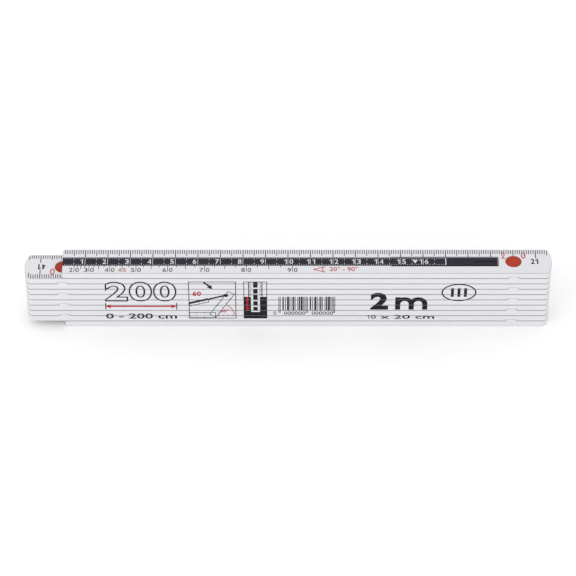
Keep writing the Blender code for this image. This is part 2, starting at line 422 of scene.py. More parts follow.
# %% [markdown]
# ## Three kinds of segment
#
# Ten segments come from three drawings. The first has the groove and ends flat at its zero. The
# last ends flat at two metres. The eight between them are alike, so one is modelled and copied.

# %% Model the three kinds
first_kind = moulded_bar("first_kind", flat_end=0.0)
upper_half(first_kind, PITCH)
plough_groove(first_kind)
middle_kind = moulded_bar("middle_kind")
lower_half(middle_kind, 0.0)
upper_half(middle_kind, PITCH)
last_kind = moulded_bar("last_kind", flat_end=PITCH)
lower_half(last_kind, 0.0)
for kind in (first_kind, middle_kind, last_kind):
    round_shading(kind)
    mark_rims(kind)
    print(kind.name, len(kind.data.polygons), "faces")

# %% [markdown]
# ## Rivets, caps and springs
#
# A rivet's head and its cap look the same from outside: a red disc just below the white face, with
# a fine ring turned in it. The disc is a short cylinder whose face is inset again and again, each
# inset a little lower or higher, as one would draw the steps of a turned knob. Under the cap
# sits a wave spring, a thin washer bent into three low waves.

# %% The red disc
FACE_SETBACK = THICK + floor_of[1] - cap_high.z
DISC_THICKNESS = cap_high.z - cap_low.z
SOCKET_RADIUS = 1.1 * MM
SOCKET_DEPTH = 0.45 * MM
DISC_ROUNDING = 0.1 * MM
DISC_STEPS = ((0.55, 0.0), (0.08, -0.06), (0.1, 0.0), (0.08, 0.06), (0.5, 0.0), (0.9, 0.03))


def face_disc(name):
    """A disc with its outer face up, at w = 0 and above."""
    piece = drum(name, (0, 0), DISC_RADIUS, 0.0, DISC_THICKNESS, 72)
    pick(piece)
    bpy.ops.object.mode_set(mode="EDIT")
    bpy.ops.mesh.select_mode(type="EDGE")
    select_edges(piece, lambda a, b: min(a.z, b.z) > DISC_THICKNESS / 2)
    bpy.ops.mesh.bevel(offset=DISC_ROUNDING, segments=3, affect="EDGES")
    bpy.ops.mesh.select_mode(type="FACE")
    bpy.ops.mesh.select_all(action="DESELECT")
    drawn = bmesh.from_edit_mesh(piece.data)
    top = max(drawn.faces, key=lambda face: face.calc_center_median().z)
    top.select_set(True)
    drawn.faces.active = top
    bmesh.update_edit_mesh(piece.data)
    for inset, rise in DISC_STEPS:
        bpy.ops.mesh.inset(thickness=inset * MM, depth=rise * MM)
    bpy.ops.object.mode_set(mode="OBJECT")
    return piece


def cap_piece(name):
    """A cap: the disc with the socket that clips on the rivet."""
    piece = face_disc(name)
    cut(piece, drum("socket", (0, 0), SOCKET_RADIUS, -OVERRUN, SOCKET_DEPTH, 32))
    piece.data.transform(Matrix.Translation((0, 0, THICK - FACE_SETBACK - DISC_THICKNESS)))
    round_shading(piece)
    return piece


# %% The rivet and the wave spring
SPIGOT_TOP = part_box("joint_rivet_01")[1].z - floor_of[2]
SPIGOT_RADIUS = 1.0 * MM
SHANK_TOP = SPIGOT_TOP - 0.35 * MM
SHANK_RADIUS = 2.03 * MM
spring_low, spring_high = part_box("joint_spring_01")
SPRING_EYE = 2.2 * MM
SPRING_WAVES = 3


def rivet_piece(name):
    """A rivet, drawn from the underside of the lower segment: head, shank and spigot."""
    piece = face_disc(name)
    piece.data.transform(Matrix.Rotation(math.pi, 4, "X"))
    piece.data.transform(Matrix.Translation((0, 0, FACE_SETBACK + DISC_THICKNESS)))
    root = FACE_SETBACK + DISC_THICKNESS / 2
    cut(piece, drum("shank", (0, 0), SHANK_RADIUS, root, SHANK_TOP, 48), "UNION")
    cut(piece, drum("spigot", (0, 0), SPIGOT_RADIUS, SHANK_TOP - MM, SPIGOT_TOP, 32), "UNION")
    round_shading(piece)
    return piece


def wave_spring(name):
    """A washer bent into three waves, from the height of its seat."""
    outer = (spring_high.x - spring_low.x) / 2
    height = spring_high.z - spring_low.z
    piece = drum(name, (0, 0), outer, 0.0, height / 2, 96)
    cut(piece, drum("eye", (0, 0), SPRING_EYE, -MM, MM, 96))
    for vertex in piece.data.vertices:
        turn = math.atan2(vertex.co.y, vertex.co.x)
        vertex.co.z += height / 4 * (1 + math.cos(SPRING_WAVES * turn))
    seat = spring_low.z - floor_of[1]
    piece.data.transform(Matrix.Translation((0, 0, seat)))
    round_shading(piece)
    return piece


cap_kind = cap_piece("cap_kind")
rivet_kind = rivet_piece("rivet_kind")
spring_kind = wave_spring("spring_kind")
print("disc steps:", len(cap_kind.data.polygons), "faces; rivet:", len(rivet_kind.data.polygons))

# %% [markdown]
# ## The depth tongue
#
# The tongue is a strip with a T-shaped section: a flange that runs under the lips and a rib that
# fills the mouth of the groove. It starts as a bar as wide as the flange. Two bisecting planes mark
# the rib on its top, and the strip between them is extruded up. A slit in its tail makes two
# springy prongs, and a shallow dimple and a cross line mark where the scale stops.

# %% Model the tongue
TONGUE_LENGTH = tongue_high.x - tongue_low.x
TONGUE_FLOOR = tongue_low.z - floor_of[1]
TONGUE_TOP = tongue_high.z - floor_of[1]
FLANGE_HALF = tongue_high.y
RIB_HALF = 2.4 * MM
FLANGE_TOP = TONGUE_FLOOR + 0.65 * MM
TONGUE_ROUNDING = 0.12 * MM
SLIT_START = TONGUE_LENGTH - 10.1 * MM
SLIT_HALF = 0.2 * MM
SLIT_ROOT_RADIUS = 0.32 * MM
DIMPLE_U = 176.6 * MM
DIMPLE_RADII = (1.55 * MM, 2.5 * MM)
DIMPLE_DEPTH = 0.15 * MM
CROSS_LINE_U = 180 * MM
CROSS_LINE_WIDTH = 0.25 * MM
CROSS_LINE_DEPTH = 0.06 * MM


def rounded_on_tongue(a, b):
    """Whether an edge runs round the rib's top, or along the flange's two upper rims."""
    on_rib = min(a.z, b.z) > TONGUE_TOP - TINY
    level = abs(a.z - b.z) < TINY and min(a.z, b.z) > TONGUE_FLOOR
    on_flange = a.y * b.y > 0 and min(abs(a.y), abs(b.y)) > FLANGE_HALF - TINY
    return on_rib or (level and on_flange)


def tongue_piece(name):
    """The tongue in reading order, its front end at u = 0."""
    piece = block(name, (0, -FLANGE_HALF, TONGUE_FLOOR), (TONGUE_LENGTH, FLANGE_HALF, FLANGE_TOP))
    bpy.ops.object.mode_set(mode="EDIT")
    for side in (-1, 1):
        bpy.ops.mesh.select_all(action="SELECT")
        trim((0, side * RIB_HALF, 0), (0, 1, 0))
    bpy.ops.mesh.select_mode(type="FACE")
    bpy.ops.mesh.select_all(action="DESELECT")
    drawn = bmesh.from_edit_mesh(piece.data)
    for face in drawn.faces:
        middle = face.calc_center_median()
        face.select_set(face.normal.z > 0.5 and abs(middle.y) < RIB_HALF)
    bmesh.update_edit_mesh(piece.data)
    rise = TONGUE_TOP - FLANGE_TOP
    bpy.ops.mesh.extrude_region_move(TRANSFORM_OT_translate={"value": (0, 0, rise)})
    bpy.ops.mesh.select_all(action="SELECT")
    bpy.ops.mesh.normals_make_consistent(inside=False)
    bpy.ops.mesh.select_mode(type="EDGE")
    select_edges(piece, rounded_on_tongue)
    bpy.ops.mesh.bevel(offset=TONGUE_ROUNDING, segments=3, affect="EDGES")
    bpy.ops.object.mode_set(mode="OBJECT")
    through = 2 * THICK
    cut(piece, block("slit", (SLIT_START, -SLIT_HALF, -MM), (PITCH, SLIT_HALF, through)))
    cut(piece, drum("slit_root", (SLIT_START, 0), SLIT_ROOT_RADIUS, -MM, through, 24))
    top = TONGUE_TOP
    narrow, wide = DIMPLE_RADII
    cut(piece, drum("dimple", (DIMPLE_U, 0), narrow, top - DIMPLE_DEPTH, top + MM, 48, wide))
    line_low = (CROSS_LINE_U, -PITCH, top - CROSS_LINE_DEPTH)
    cut(piece, block("line", line_low, (CROSS_LINE_U + CROSS_LINE_WIDTH, PITCH, top + MM)))
    round_shading(piece)
    return piece


tongue_kind = tongue_piece("tongue_kind")
print("tongue:", len(tongue_kind.data.polygons), "faces")

# %% [markdown]
# ## Shader maths as plain expressions
#
# A procedural finish is a formula over the surface: so much grain here, so much dust there. Node
# trees hold such formulas well but are hard to read, so a small class wraps a node's output and
# lets Python's own signs add the Math nodes. Anything else comes from one method that takes a
# node's type, its settings and its inputs.

# %% Signals and recipes


class Signal:
    """A value on a wire of a node tree, which plain arithmetic can work on."""

    def __init__(self, socket):
        self.socket = socket

    def maths(self, operation, first, second):
        """Adds one Math node."""
        tree = self.socket.node.id_data
        made = tree.nodes.new("ShaderNodeMath")
        made.operation = operation
        feed(tree, made.inputs[0], first)
        feed(tree, made.inputs[1], second)
        return Signal(made.outputs[0])

    def __add__(self, other):
        return self.maths("ADD", self, other)

    def __radd__(self, other):
        return self.maths("ADD", other, self)

    def __sub__(self, other):
        return self.maths("SUBTRACT", self, other)

    def __rsub__(self, other):
        return self.maths("SUBTRACT", other, self)

    def __mul__(self, other):
        return self.maths("MULTIPLY", self, other)

    def __rmul__(self, other):
        return self.maths("MULTIPLY", other, self)


def feed(tree, socket, value):
    """Links a signal to a socket, or sets the socket's own value."""
    if isinstance(value, Signal):
        tree.links.new(value.socket, socket)
    else:
        socket.default_value = value


class Recipe:
    """A material being mixed. Constants go straight to the Principled shader's sockets."""

    def __init__(self, name, **constants):
        self.material = bpy.data.materials.new(name)
        self.material.use_nodes = True
        self.tree = self.material.node_tree
        self.shader = self.tree.nodes["Principled BSDF"]
        for socket, value in constants.items():
            self.shader.inputs[socket.replace("_", " ")].default_value = value

    def node(self, kind, settings=None, output=0, **inputs):
        """Adds a node: its settings first, a ramp's stops among them, then its inputs."""
        made = self.tree.nodes.new("ShaderNode" + kind)
        for name, value in (settings or {}).items():
            if name == "stops":
                while len(made.color_ramp.elements) < len(value):
                    made.color_ramp.elements.new(0.5)
                for stop, (place, shade) in zip(made.color_ramp.elements, value):
                    stop.position = place
                    stop.color = (shade, shade, shade, 1.0)
            else:
                setattr(made, name, value)
        for name, value in inputs.items():
            feed(self.tree, made.inputs[name.replace("_", " ")], value)
        return Signal(made.outputs[output])

    def place(self):
        """Object coordinates, the same as the frame's because every mesh holds its own place."""
        return self.node("TexCoord", output="Object")

    def noise(self, scale, detail=2.0, stretch=(1.0, 1.0, 1.0), roughness=0.5):
        """Cloudy noise from 0 to 1, with so many clouds to the metre."""
        spread = self.node("Mapping", Vector=self.place(), Scale=stretch)
        return self.node(
            "TexNoise", Vector=spread, Scale=scale, Detail=detail, Roughness=roughness
        )

    def ramp(self, factor, *stops):
        """A grey ramp of (place, shade) stops, so a soft mask cut from a noise."""
        return self.node("ValToRGB", {"stops": stops}, Fac=factor)

    def blend(self, factor, first, second):
        """One colour turning into another."""
        made = self.tree.nodes.new("ShaderNodeMix")
        made.data_type = "RGBA"
        feed(self.tree, made.inputs["Factor"], factor)
        for socket, value in ((made.inputs[6], first), (made.inputs[7], second)):
            feed(self.tree, socket, value)
        return Signal(made.outputs[2])

    def bump(self, height, distance, strength=1.0):
        """Tilts the surface by a height map."""
        made = self.node("Bump", Height=height, Distance=distance, Strength=strength)
        feed(self.tree, self.shader.inputs["Normal"], made)

    def give(self, socket, value):
        """Feeds one of the Principled shader's sockets."""
        feed(self.tree, self.shader.inputs[socket], value)


# %% [markdown]
# ## The finishes
#
# White glass-filled polyamide is not a flat white. The moulding leaves a very fine spark-eroded
# grain, the flow of the melt shades it by a hair along its length, and handling leaves the faintest
# grey on it. The slanted faces of the joint lines are painted darker as shade. The black tongue and
# the red discs are the same family of plastic, so one function mixes all three from a base colour,
# and only the numbers differ. Printing ink is thin and matt, and one flat colour of it is enough.
# The spring is bright strip with the lines of its rolling.

# %% Plastics


def moulded_plastic(name, colour, shaded, rim, gloss, roughness, grain):
    """Satin moulded plastic: flow clouds, specks of handling, painted shade on the rims, a moulded
    grain.
    """
    mix = Recipe(name, Specular_IOR_Level=gloss)
    flow = mix.noise(26.0, 3.0, (0.35, 1.0, 1.0))
    handling = mix.ramp(mix.noise(210.0, 5.0, roughness=0.62), (0.52, 0.0), (0.74, 1.0))
    body = mix.blend(flow * 0.55 + handling * 0.3, colour, shaded)
    # The rim attribute paints shade into the colour: marked faces of the joint lines turn to the rim
    # colour.
    edge = mix.node("Attribute", {"attribute_name": "rim"}, output="Fac")
    mix.give("Base Color", mix.blend(edge, body, rim))
    fine = mix.noise(5200.0, 2.0)
    mix.give("Roughness", roughness + flow * 0.07 + fine * 0.05 + handling * 0.06 - 0.07)
    mix.bump(fine + mix.noise(1400.0, 2.0) * 0.5, grain)
    return mix.material


def printing_ink(name, colour):
    """Pad-printed ink: one flat matt colour, which is what a print needs to stay crisp."""
    mix = Recipe(name, Base_Color=colour, Roughness=0.5, Specular_IOR_Level=0.15)
    return mix.material


# The third colour of each plastic is the painted shade of its marked rims.
WHITE = moulded_plastic(
    "white_polyamide",
    (0.69, 0.695, 0.72, 1),
    (0.64, 0.645, 0.675, 1),
    (0.33, 0.33, 0.36, 1),
    0.4,
    0.46,
    0.012 * MM,
)
BLACK = moulded_plastic(
    "black_polyamide",
    (0.011, 0.0105, 0.020, 1),
    (0.018, 0.017, 0.028, 1),
    (0.01, 0.01, 0.012, 1),
    0.2,
    0.42,
    0.012 * MM,
)
RED = moulded_plastic(
    "red_polyamide",
    (0.42, 0.033, 0.012, 1),
    (0.33, 0.026, 0.009, 1),
    (0.2, 0.02, 0.01, 1),
    0.22,
    0.4,
    0.008 * MM,
)
BLACK_INK = printing_ink("black_ink", (0.006, 0.006, 0.007, 1))
RED_INK = printing_ink("red_ink", (0.42, 0.006, 0.010, 1))
LIGHT_INK = printing_ink("light_ink", (0.62, 0.62, 0.66, 1))
WHITE_INK = printing_ink("white_ink", (0.70, 0.70, 0.73, 1))


# %% Spring steel


def rolled_steel(name):
    """Bright steel strip with the fine lines of its rolling."""
    mix = Recipe(name, Metallic=1.0)
    lines = mix.noise(900.0, 3.0, (0.04, 1.0, 1.0))
    mix.give("Base Color", mix.blend(lines, (0.50, 0.51, 0.52, 1), (0.63, 0.64, 0.65, 1)))
    mix.give("Roughness", 0.24 + lines * 0.14)
    mix.bump(lines, 0.004 * MM)
    return mix.material


STEEL = rolled_steel("spring_steel")
finishes = (WHITE, BLACK, RED, STEEL, BLACK_INK, RED_INK, LIGHT_INK, WHITE_INK)
print("finishes:", [finish.name for finish in finishes])

# %% [markdown]
# ## Laying the stack
#
# Every model goes to its seat in the stack as a copy with its own mesh, gets its plastic, and
# rides on the body of its segment. It stands for the plain node in the same place.

# %% Segments, rivets, springs, caps and the tongue


def dress(piece, body, name, material, slot=None, *replaced):
    """Names a piece, gives it its material, and lets it ride with a body of the rule."""
    piece.name = name
    piece.data.materials.clear()
    piece.data.materials.append(material)
    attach(piece, body)
    if replaced:
        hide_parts(*replaced)


def settle(piece, segment, at=0.0):
    """Moves a drawing from reading order to its seat in the stack."""
    piece.data.transform(seat_of(segment) @ Matrix.Translation((at, 0, 0)))
    return piece


for segment in SEGMENTS:
    kind = {1: first_kind, SEGMENTS[-1]: last_kind}.get(segment, middle_kind)
    bar = settle(twin(kind, "bar"), segment)
    node = f"segment_{segment:02}"
    dress(bar, f"link_{segment:02}", f"bar_{segment:02}", WHITE, "white_body", node)
for joint in JOINTS:
    which = f"{joint:02}"
    upper = f"link_{joint:02}"
    lower = f"link_{joint + 1:02}"
    cap = settle(twin(cap_kind, "cap"), joint, at=PITCH)
    dress(cap, upper, f"cap_{which}", RED, "red_rivet", f"joint_cap_{which}")
    spring = settle(twin(spring_kind, "spring"), joint, at=PITCH)
    dress(spring, upper, f"wave_spring_{which}", STEEL, "spring_steel", f"joint_spring_{which}")
    rivet = settle(twin(rivet_kind, "rivet"), joint + 1)
    dress(rivet, lower, f"rivet_{which}", RED, "red_rivet", f"joint_rivet_{which}")
for kind in (first_kind, middle_kind, last_kind, cap_kind, rivet_kind, spring_kind):
    bpy.data.objects.remove(kind)
dress(settle(tongue_kind, 1), "tongue", "slide_tongue", BLACK, "black_tongue", "depth_tongue")

# %% [markdown]
# ## Ink as thin plates
#
# The scales are printed on the plastic. A printed mark is drawn as a plate a few hundredths of a
# millimetre thick, sunk in the face, so it is crisp from any distance and belongs to its segment.
# Drawings for print are made flat, in millimetres, and laid on their faces at the end.

# %% Marks and letters
INK_SINK = 0.02 * MM
INK_RISE = 0.012 * MM
SMALL_LETTER = 6
drawn_letters = {}


def stripe(left, bottom, right, top, lift=0.0):
    """A straight mark; its sides are in millimetres."""
    low = (left * MM, bottom * MM, -INK_SINK)
    return block("stripe", low, (right * MM, top * MM, INK_RISE + lift * MM))


def turned(piece, degrees, place):
    """Turns a mark drawn about the origin and moves it to its place, in millimetres."""
    shift = Matrix.Translation((place[0] * MM, place[1] * MM, 0))
    piece.data.transform(shift @ Matrix.Rotation(math.radians(degrees), 4, "Z"))
    return piece


def line(start, end, thickness, lift=0.0):
    """A straight stroke between two points."""
    along = Vector(end) - Vector(start)
    half = thickness / 2
    angle = math.degrees(math.atan2(along.y, along.x))
    return turned(stripe(0, -half, along.length, half, lift), angle, start)


def outline_of(left, bottom, right, top, thickness):
    """A rectangular frame as four strokes."""
    return [
        stripe(left, bottom, right, bottom + thickness),
        stripe(left, top - thickness, right, top),
        stripe(left, bottom + thickness, left + thickness, top - thickness),
        stripe(right - thickness, bottom + thickness, right, top - thickness),
    ]


def wedge(centre, radius, degrees, squash=1.0):
    """A filled triangle for an arrow, with one corner in the direction given."""
    piece = drum("wedge", (0, 0), radius * MM, -INK_SINK, INK_RISE, 3)
    piece.data.transform(Matrix.Rotation(math.radians(-90), 4, "Z"))
    piece.data.transform(Matrix.Diagonal((1, squash, 1, 1)))
    return turned(piece, degrees, centre)


def corners_of(mesh):
    """The lowest and the highest corner of a mesh."""
    columns = list(zip(*(vertex.co for vertex in mesh.vertices)))
    return Vector(map(min, columns)), Vector(map(max, columns))


def letters(text, centre, height, width, weight=0.0, lift=0.0):
    """Letters about a centre, as tall and as wide as given in millimetres."""
    if (text, weight) not in drawn_letters:
        bpy.ops.object.select_all(action="DESELECT")
        bpy.ops.object.text_add()
        draft = bpy.context.object
        draft.data.body = text
        draft.data.resolution_u = 3 if height < SMALL_LETTER else 10
        draft.data.extrude = 0.5
        draft.data.offset = weight
        bpy.ops.object.convert(target="MESH")
        bpy.ops.object.mode_set(mode="EDIT")
        bpy.ops.mesh.select_all(action="SELECT")
        bpy.ops.mesh.remove_doubles(threshold=1e-5)
        bpy.ops.object.mode_set(mode="OBJECT")
        drawn_letters[text, weight] = bpy.context.object.data.copy()
        bpy.data.objects.remove(bpy.context.object)
    mesh = drawn_letters[text, weight].copy()
    low, high = corners_of(mesh)
    size = high - low
    thick = (INK_SINK + INK_RISE + lift * MM) / size.z
    mesh.transform(Matrix.Translation(-(low + high) / 2))
    mesh.transform(Matrix.Diagonal((width * MM / size.x, height * MM / size.y, thick, 1)))
    rise = (INK_RISE + lift * MM - INK_SINK) / 2
    mesh.transform(Matrix.Translation((centre[0] * MM, centre[1] * MM, rise)))
    piece = bpy.data.objects.new("letters", mesh)
    bpy.context.collection.objects.link(piece)
    return piece


# %% [markdown]
# ## Figures of a scale
#
# Scale figures are narrow, so that a number fits beside its mark, and evenly spaced. The font's own
# figures are squeezed to one width. Its 1 is a bare bar, which a reader could take for a mark, and
# its 4 closes up when it is made bolder, so these two are drawn with straight strokes. The strokes
# of a figure overlap, and each lies a hair above the one before, so no two tops share a plane.

# %% Figures and numbers
OVERPRINT = 0.004
FIGURE_GAP = 0.3


def plate(bottom_corners, top_corners, lift=0.0):
    """A four-sided mark between two pairs of corners, each pair from left to right."""
    piece = stripe(-1, -1, 1, 1, lift)
    for vertex in piece.data.vertices:
        pair = top_corners if vertex.co.y > 0 else bottom_corners
        corner = pair[1] if vertex.co.x > 0 else pair[0]
        vertex.co.x = corner[0] * MM
        vertex.co.y = corner[1] * MM
    return piece


def drawn_one(centre, height, width, stroke, lift):
    """A 1 as a stem with a flag."""
    top = centre[1] + height / 2
    right = centre[0] + 0.3 * width
    stem = stripe(right - stroke, top - height, right, top, lift)
    tip = (right - stroke - 0.45 * width, top - 0.24 * height)
    root = (right - 0.5 * stroke, top)
    lower_ends = ((tip[0], tip[1] - 0.9 * stroke), (root[0], root[1] - 0.9 * stroke))
    return [stem, plate(lower_ends, (tip, root), lift + OVERPRINT)]


def drawn_four(centre, height, width, stroke, lift):
    """A 4 as a stem, a bar and a slope."""
    top = centre[1] + height / 2
    left = centre[0] - width / 2
    right = centre[0] + 0.36 * width
    bar_top = top - 0.66 * height
    bar_low = bar_top - 0.75 * stroke
    run = 0.75 * stroke
    stem = stripe(right - 0.9 * stroke, top - height, right, top, lift)
    bar = stripe(left, bar_low, left + width, bar_top, lift + OVERPRINT)
    slope_foot = ((left, bar_low), (left + run, bar_low))
    slope_head = ((right - run, top), (right, top))
    return [stem, bar, plate(slope_foot, slope_head, lift + 2 * OVERPRINT)]


def figure(digit, centre, height, width, weight=0.0, lift=0.0):
    """One figure as a list of pieces."""
    stroke = height * (0.13 + 2.2 * weight)
    if digit == "1":
        return drawn_one(centre, height, width, stroke, lift)
    if digit == "4":
        return drawn_four(centre, height, width, stroke, lift)
    return [letters(digit, centre, height, width, weight, lift)]


def number(text, centre, height, width, weight=0.0, lift=0.0):
    """A number centred on a point, of figures with one width and one gap."""
    pieces = []
    step = width + FIGURE_GAP
    start = centre[0] - step * (len(text) - 1) / 2
    for index, digit in enumerate(text):
        spot = (start + step * index, centre[1])
        pieces += figure(digit, spot, height, width, weight, lift)
    return pieces


# %% [markdown]
# ## The centimetre scale
#
# Both rims of a face carry millimetre marks. Ten marks, one of them half long and one long, are
# drawn once and repeated along the segment, and then the marks that would fall on a boss, in a
# recess or past the end are taken away again. Long marks are cut short beside a red disc, and the
# last mark at a round end starts a little lower, where the corner begins.

# %% Rows of marks
MARKS_START = 7.2
END_MARKS_START = 6.7
DISC_CLEAR = 3.8
JOINT_CLEAR = 8.4
UPPER_ROW = (2.5, 3.5, 5.3)
LOWER_ROW = (2.0, 2.9, 4.6)
FIRST_MARK = -15
LAST_MARK = 215
MARK_HALF = 0.17
CENTIMETRE_MARK_HALF = 0.19
ROW_START = -20
ROW_CENTIMETRES = 24


def repeat_centimetre(row, count):
    """Repeats one centimetre of marks along the scale."""
    apply_modifier(
        row,
        "ARRAY",
        count=count,
        use_relative_offset=False,
        use_constant_offset=True,
        constant_offset_displace=(10 * MM, 0, 0),
    )


def rim_row(side, lengths, first, last, gap=None, short=None):
    """The marks along one rim, from one millimetre to another."""
    group = []
    for step in range(10):
        length = lengths[{0: 2, 5: 1}.get(step, 0)]
        half = CENTIMETRE_MARK_HALF if step == 0 else MARK_HALF
        ends = sorted((side * MARKS_START, side * (MARKS_START - length)))
        group.append(stripe(step - half, ends[0], step + half, ends[1]))
    row = merge("row", group)
    row.data.transform(Matrix.Translation((ROW_START * MM, 0, 0)))
    repeat_centimetre(row, ROW_CENTIMETRES)
    drawn = bmesh.new()
    drawn.from_mesh(row.data)
    unwanted = []
    for vertex in drawn.verts:
        step = round(vertex.co.x / MM)
        if step < first or step > last or (gap is not None and abs(step - gap) < JOINT_CLEAR):
            unwanted.append(vertex)
        if step == short and abs(vertex.co.y) < DISC_CLEAR * MM:
            vertex.co.y = side * DISC_CLEAR * MM
        if step in (FIRST_MARK, LAST_MARK) and abs(vertex.co.y) > END_MARKS_START * MM:
            vertex.co.y = side * END_MARKS_START * MM
    bmesh.ops.delete(drawn, geom=unwanted, context="VERTS")
    drawn.to_mesh(row.data)
    drawn.free()
    return row


def both_rows(first, last, gap=None, short=None):
    """Marks on both rims."""
    return [
        rim_row(1, UPPER_ROW, first, last, gap, short),
        rim_row(-1, LOWER_ROW, first, last, gap, short),
    ]


# %% [markdown]
# ## The numbers
#
# Every centimetre has its number in the middle of the face, just before its mark, and each tenth
# one is red. At a red disc there is no room, so the number is split and stands on both sides of
# the disc in tall thin figures. Numbers next to a boss or a recess step aside for it.

# %% Numbers on one face
FIGURE = {"height": 3.25, "width": 1.65, "weight": 0.024}
TALL = {"height": 3.9, "width": 2.0, "weight": 0.004, "lift": OVERPRINT}
FRONT_CLEAR = 3.45
LAST_U = 4.5
BEFORE_ITS_MARK = 0.5


def width_of(text, style):
    """How wide a number of one style is."""
    return (style["width"] + FIGURE_GAP) * len(text) - FIGURE_GAP


def split_number(value, u, rise):
    """A tall thin number whose last figure stands behind the disc and the others before it."""
    text = str(value)
    front = text[:-1]
    front_u = u - FRONT_CLEAR - width_of(front, TALL) / 2
    return number(front, (front_u, rise), **TALL) + number(text[-1], (u + LAST_U, rise), **TALL)


def numbers(segment, keep_clear=None):
    """The black and the red numbers in the middle of a segment's face."""
    black = []
    red = []
    places = list(range(10, 200, 10))
    if segment > 1:
        places.insert(0, -10)
    if segment < SEGMENTS[-1]:
        places.append(210)
    for u in places:
        value = (200 * (segment - 1) + u) // 10
        text = str(value)
        centre = u - BEFORE_ITS_MARK
        if keep_clear is not None:
            clearance = JOINT_CLEAR + width_of(text, FIGURE) / 2
            if abs(centre - keep_clear) < clearance:
                centre = keep_clear + math.copysign(clearance, centre - keep_clear)
        marks = number(text, (centre, 0), **FIGURE)
        if value % 10:
            black += marks
        else:
            red += marks
    return black, red


def print_on(segment, side, black, red):
    """Joins the ink of one face by colour, lays it on its face and lets it ride along."""
    laid = TOP_FACE if side == "top" else UNDER_FACE
    for colour, material, marks in (("black", BLACK_INK, black), ("red", RED_INK, red)):
        if marks:
            piece = merge("ink", marks)
            piece.data.transform(laid)
            settle(piece, segment)
            dress(piece, f"link_{segment:02}", f"{colour}_print_{side}_{segment:02}", material)


# %% [markdown]
# ## Printing the faces
#
# The marks and numbers of a face are joined by colour into one piece of ink each, so that a face
# takes two pieces and not two hundred. Nine upper faces and ten undersides are alike but for their
# numbers, so a loop prints them. The first segment's upper face comes later, as the tongue is in it.

# %% Print the upper faces of segments two to ten
RED_NUMBER_RISE = 3.0
for segment in SEGMENTS[1:]:
    black, red = numbers(segment, keep_clear=0)
    if segment < SEGMENTS[-1]:
        black += both_rows(FIRST_MARK, LAST_MARK, gap=0, short=200)
        red += split_number(20 * segment, 200, RED_NUMBER_RISE)
    else:
        black += both_rows(FIRST_MARK, 199, gap=0)
    print_on(segment, "top", black, red)

# %% Print the undersides
for segment in SEGMENTS:
    black, red = numbers(segment, keep_clear=200 if segment < SEGMENTS[-1] else None)
    first = 1 if segment == 1 else FIRST_MARK
    if segment < SEGMENTS[-1]:
        black += both_rows(first, LAST_MARK, gap=200, short=None if segment == 1 else 0)
    else:
        black += both_rows(first, 199, short=0)
    if segment > 1:
        red += split_number(20 * (segment - 1), 0, RED_NUMBER_RISE)
    print_on(segment, "under", black, red)
print("printed faces:", 2 * len(SEGMENTS) - 1)

# %% [markdown]
# ## The first segment's face
#
# The tongue takes the middle of this face, so its centimetre marks stand only along the upper rim.
# Below the tongue runs a scale of degrees. Folded into a triangle with the first joint as one
# corner, the rule's zero end meets a later segment, and how far along it lies tells the angle. The
# law of cosines gives every mark: two sides are one segment long and a little less.

# %% Degree marks
DEGREE_TOP = -2.75
DEGREE_FIGURES_V = -5.35
DEGREE_MARK_HALF = 0.13
LONG_SIDE = 200.0
SHORT_SIDE = 155.0
ANGLES = [20 + 2.5 * step for step in range(29)]
RED_ANGLE = 45
NUMBERED_DEPTH = 3.75


def degree_place(angle):
    """Where a whole angle of the triangle falls, in millimetres from the zero end."""
    cosine = math.cos(math.radians(angle))
    chord = LONG_SIDE**2 + SHORT_SIDE**2 + 2 * LONG_SIDE * SHORT_SIDE * cosine
    return LONG_SIDE + SHORT_SIDE - math.sqrt(chord)


def mark_depth(angle):
    """How far down a degree mark reaches; the numbered ones are the longest."""
    if angle % 10 == 0 or angle == RED_ANGLE:
        return NUMBERED_DEPTH
    return 2.1 if angle % 5 == 0 else 1.0


# The long marks above the tongue are shorter than elsewhere, to clear the groove.
ROW_ABOVE_TONGUE = (2.5, 3.6, 4.4)
black = [rim_row(1, ROW_ABOVE_TONGUE, 1, 209, short=200), rim_row(1, UPPER_ROW, 210, LAST_MARK)]
black += number("21", (209.5, 0), **FIGURE)
red = split_number(20, 200, RED_NUMBER_RISE + 0.75)
for angle in ANGLES:
    place = degree_place(angle)
    depth = mark_depth(angle)
    ends = (place - DEGREE_MARK_HALF, place + DEGREE_MARK_HALF)
    black.append(stripe(ends[0], DEGREE_TOP - depth, ends[1], DEGREE_TOP))
    if depth == NUMBERED_DEPTH:
        colour = red if angle == RED_ANGLE else black
        offset, height, width = (1.15, 2.3, 1.4) if angle == RED_ANGLE else (1.4, 2.6, 1.6)
        for digit, side in zip(str(round(angle)), (-1, 1)):
            spot = (place + side * offset, DEGREE_FIGURES_V)
            colour += figure(digit, spot, height, width, 0.004, OVERPRINT)
print("degree scale:", round(degree_place(20), 1), "to", round(degree_place(90), 1), "mm")

# %% The sign of an angle, and the print of the first face
SIGN_TIP = (111.3, -5.0)
for rise, lift in ((-1.75, 0.0), (1.75, OVERPRINT)):
    red.append(line(SIGN_TIP, (SIGN_TIP[0] + 5.3, SIGN_TIP[1] + rise), 0.42, lift))
stroke_u = SIGN_TIP[0] + 4.1
red.append(line((stroke_u, SIGN_TIP[1] - 1.3), (stroke_u, SIGN_TIP[1] + 1.3), 0.36, 2 * OVERPRINT))
red.append(letters("20° - 90°", (124.6, -4.75), 2.75, 12.4, 0.008, OVERPRINT))
print_on(1, "top", black, red)

# %% [markdown]
# ## The tongue's own scale
#
# The tongue measures depth, so it carries its own light scale to seventeen centimetres: fine
# dashes along both edges of its rib, and a line right across at each centimetre. The figures of a
# number above nine stand on both sides of their line.

